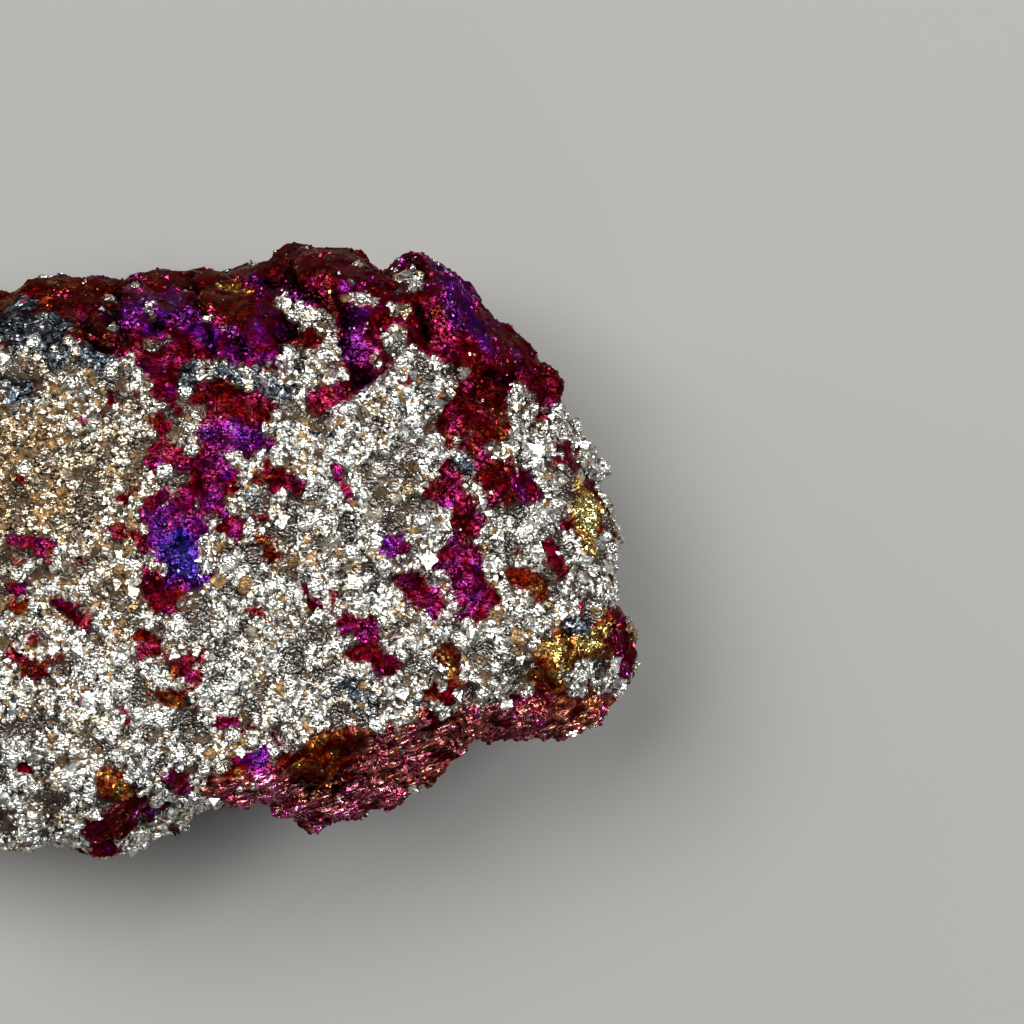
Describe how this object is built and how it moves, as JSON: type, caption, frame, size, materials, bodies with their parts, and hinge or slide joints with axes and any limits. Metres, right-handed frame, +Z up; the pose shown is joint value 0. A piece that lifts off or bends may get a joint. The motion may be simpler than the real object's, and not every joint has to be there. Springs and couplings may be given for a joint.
{
  "type": "peacock ore specimen",
  "caption": "Loose lump of granular pyrite with iridescent tarnished copper ore along its thick edge, resting flat with its broken face up.",
  "frame": {"origin": "middle of the lump's bounding box, on the plane of its underside", "axes": "+X along the lump's length, +Y towards its thick tarnished edge, +Z up out of the broad broken face"},
  "size_m": [0.0502, 0.0302, 0.0202],
  "materials": {
    "tarnished_ore": "iridescent metallic tarnish, rough broken surface",
    "pyrite_grains": "bright pale gold metallic grains"
  },
  "bodies": {
    "root": {"ore_lump": "tarnished_ore"}
  },
  "joints": []
}
